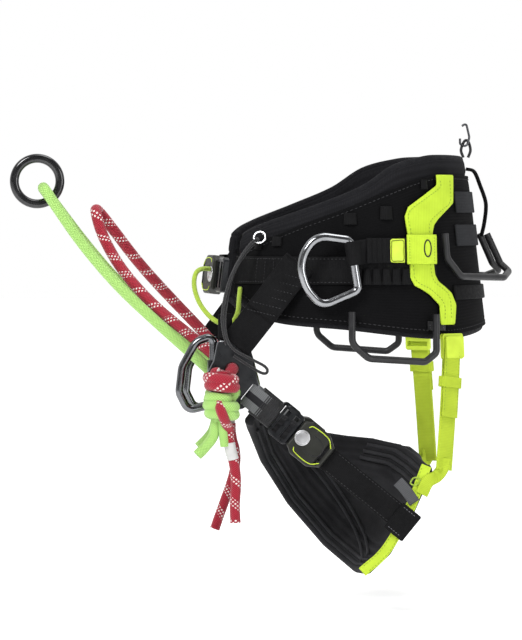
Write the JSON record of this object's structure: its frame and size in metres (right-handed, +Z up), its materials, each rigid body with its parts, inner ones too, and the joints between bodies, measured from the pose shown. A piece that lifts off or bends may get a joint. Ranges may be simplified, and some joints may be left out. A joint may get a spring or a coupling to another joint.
{
  "type": "tree climbing saddle",
  "caption": "Arborist's climbing saddle: padded waist belt, webbing, side and front rings, rope bridge with a ring, leg loops with release buckles and gear loops.",
  "frame": {"origin": "centre of the waist opening, level with the side rings", "axes": "+Z up as worn, -Y to the wearer's front, +X to the wearer's left"},
  "size_m": [0.3666, 0.5224, 0.4726],
  "materials": {
    "belt_foam": "padded knit fabric",
    "belt_shell": "black woven nylon",
    "black_webbing": "black webbing",
    "grey_webbing": "grey webbing with a black stripe",
    "lime_webbing": "lime webbing",
    "red_rope": "braided rope, red with white flecks",
    "green_rope": "braided rope, pale green",
    "elastic": "sheathed elastic",
    "lime_cord": "braided cord",
    "alloy": "polished",
    "dark_alloy": "black anodised with bright edges",
    "black_alloy": "black anodised, glossy",
    "grey_alloy": "dark grey anodised",
    "steel": "bright wire",
    "buckle": "dark olive with lime edges",
    "black_plastic": "black tube and mouldings",
    "lime_plastic": "lime moulding",
    "leg_foam": "moulded foam"
  },
  "bodies": {
    "saddle": {"waist_pad": "belt_foam", "belt_shell": "belt_shell", "waist_webbing": "black_webbing", "yokes": "lime_webbing", "side_straps": "black_webbing", "yoke_keepers": "lime_webbing", "side_strap_keepers": "black_webbing", "side_strap_slides": "lime_plastic", "rear_webbing": "black_webbing", "gear_tabs": "black_webbing", "hip_straps": "black_webbing", "hip_plate_left": "dark_alloy", "hip_plate_right": "dark_alloy", "front_tab": "black_webbing", "red_knots": "red_rope", "green_knots": "green_rope", "red_tail_left": "red_rope", "red_tail_right": "red_rope", "elastic_cord": "elastic", "closing_loop": "lime_cord", "rear_strap": "black_webbing", "hook_cord": "elastic", "waist_buckle_body": "buckle", "waist_buckle_tongue": "dark_alloy"},
    "left_side_ring": {"side_ring_left": "alloy"},
    "right_side_ring": {"side_ring_right": "alloy"},
    "left_front_ring": {"front_ring_left": "grey_alloy"},
    "right_front_ring": {"front_ring_right": "grey_alloy"},
    "bridge": {"green_rope": "green_rope", "red_rope": "red_rope"},
    "swivel_ring": {"bridge_ring": "black_alloy"},
    "waist_release": {"waist_buckle_button": "alloy"},
    "left_lower_gear_loop": {"lower_gear_loop_left": "black_plastic"},
    "right_lower_gear_loop": {"lower_gear_loop_right": "black_plastic"},
    "left_rear_gear_loop": {"rear_gear_loop_left": "black_plastic"},
    "right_rear_gear_loop": {"rear_gear_loop_right": "black_plastic"},
    "small_ring": {"accessory_ring": "steel"},
    "wire_hook": {"hanging_hook": "steel"},
    "left_leg_loop": {"leg_pad_left": "leg_foam", "edge_tape_left": "lime_webbing", "leg_strap_left": "black_webbing", "leg_webbing_left": "grey_webbing", "leg_buckle_left": "buckle", "leg_tongue_left": "dark_alloy", "riser_left": "lime_webbing", "riser_buckle_left": "lime_plastic"},
    "left_leg_release": {"leg_button_left": "alloy"},
    "left_riser_lever": {"riser_lever_left": "lime_plastic"},
    "right_leg_loop": {"leg_pad_right": "leg_foam", "edge_tape_right": "lime_webbing", "leg_strap_right": "black_webbing", "leg_webbing_right": "grey_webbing", "leg_buckle_right": "buckle", "leg_tongue_right": "dark_alloy", "riser_right": "lime_webbing", "riser_buckle_right": "lime_plastic"},
    "right_leg_release": {"leg_button_right": "alloy"},
    "right_riser_lever": {"riser_lever_right": "lime_plastic"}
  },
  "joints": [
    {"name": "left_side_ring_swing", "type": "hinge", "parent": "saddle", "child": "left_side_ring", "pos_m": [0.176, -0.0115, 0.005], "axis": [0, -0.1565, 0.9877], "range_deg": [0, 90]},
    {"name": "left_front_ring_swing", "type": "hinge", "parent": "saddle", "child": "left_front_ring", "pos_m": [0.123, -0.15, -0.1], "axis": [0, 0, 1], "range_deg": [-25, 35]},
    {"name": "left_leg_loop_swing", "type": "hinge", "parent": "saddle", "child": "left_leg_loop", "pos_m": [0.133, -0.117, -0.125], "axis": [0.0558, 0.939, 0.3393], "range_deg": [-20, 4]},
    {"name": "left_leg_button_press", "type": "slide", "parent": "left_leg_loop", "child": "left_leg_release", "axis": [-0.9854, 0.1314, -0.1078], "range_m": [0, 0.0012], "stiffness_N_per_m": 400},
    {"name": "left_riser_lever_tilt", "type": "hinge", "parent": "left_leg_loop", "child": "left_riser_lever", "pos_m": [0.1419, 0.0944, -0.0689], "axis": [0.6391, -0.7691, 0], "range_deg": [0, 30]},
    {"name": "left_lower_gear_loop_tilt", "type": "hinge", "parent": "saddle", "child": "left_lower_gear_loop", "pos_m": [0.1675, 0.03, -0.0435], "axis": [0.2109, -0.9769, 0.0333], "range_deg": [0, 30]},
    {"name": "left_rear_gear_loop_tilt", "type": "hinge", "parent": "saddle", "child": "left_rear_gear_loop", "pos_m": [0.081, 0.115, 0.0365], "axis": [0.8772, -0.48, 0.0083], "range_deg": [0, 30]},
    {"name": "right_side_ring_swing", "type": "hinge", "parent": "saddle", "child": "right_side_ring", "pos_m": [-0.176, -0.0115, 0.005], "axis": [0, 0.1565, -0.9877], "range_deg": [0, 90]},
    {"name": "right_front_ring_swing", "type": "hinge", "parent": "saddle", "child": "right_front_ring", "pos_m": [-0.123, -0.126, -0.109], "axis": [0, 0, -1], "range_deg": [-25, 35]},
    {"name": "right_leg_loop_swing", "type": "hinge", "parent": "saddle", "child": "right_leg_loop", "pos_m": [-0.133, -0.093, -0.134], "axis": [0.0611, -0.9066, -0.4176], "range_deg": [-20, 4]},
    {"name": "right_leg_button_press", "type": "slide", "parent": "right_leg_loop", "child": "right_leg_release", "axis": [0.9854, 0.1314, -0.1078], "range_m": [0, 0.0012], "stiffness_N_per_m": 400},
    {"name": "right_riser_lever_tilt", "type": "hinge", "parent": "right_leg_loop", "child": "right_riser_lever", "pos_m": [-0.1419, 0.0944, -0.0689], "axis": [0.6391, 0.7691, 0], "range_deg": [0, 30]},
    {"name": "right_lower_gear_loop_tilt", "type": "hinge", "parent": "saddle", "child": "right_lower_gear_loop", "pos_m": [-0.1675, 0.03, -0.0435], "axis": [0.2109, 0.9769, -0.0333], "range_deg": [0, 30]},
    {"name": "right_rear_gear_loop_tilt", "type": "hinge", "parent": "saddle", "child": "right_rear_gear_loop", "pos_m": [-0.081, 0.115, 0.0365], "axis": [0.8772, 0.48, -0.0083], "range_deg": [0, 30]},
    {"name": "bridge_swing", "type": "hinge", "parent": "saddle", "child": "bridge", "pos_m": [0, -0.119, -0.1175], "axis": [0.9952, -0.092, 0.0345], "range_deg": [-15, 60], "deforming": ["green_rope", "red_rope"]},
    {"name": "swivel_ring_turn", "type": "hinge", "parent": "bridge", "child": "swivel_ring", "pos_m": [0, -0.3185, 0.0842], "axis": [1, 0, 0], "range_deg": [-90, 90]},
    {"name": "waist_button_press", "type": "slide", "parent": "saddle", "child": "waist_release", "axis": [-0.1902, 0.9745, -0.1191], "range_m": [0, 0.0012], "stiffness_N_per_m": 400},
    {"name": "small_ring_swing", "type": "hinge", "parent": "saddle", "child": "small_ring", "pos_m": [0.1183, -0.1035, 0.0333], "axis": [0, 0.8, 0.6], "range_deg": [-20, 20]},
    {"name": "wire_hook_swing", "type": "hinge", "parent": "saddle", "child": "wire_hook", "pos_m": [0, 0.126, 0.1342], "axis": [1, 0, 0], "range_deg": [-25, 25]}
  ]
}
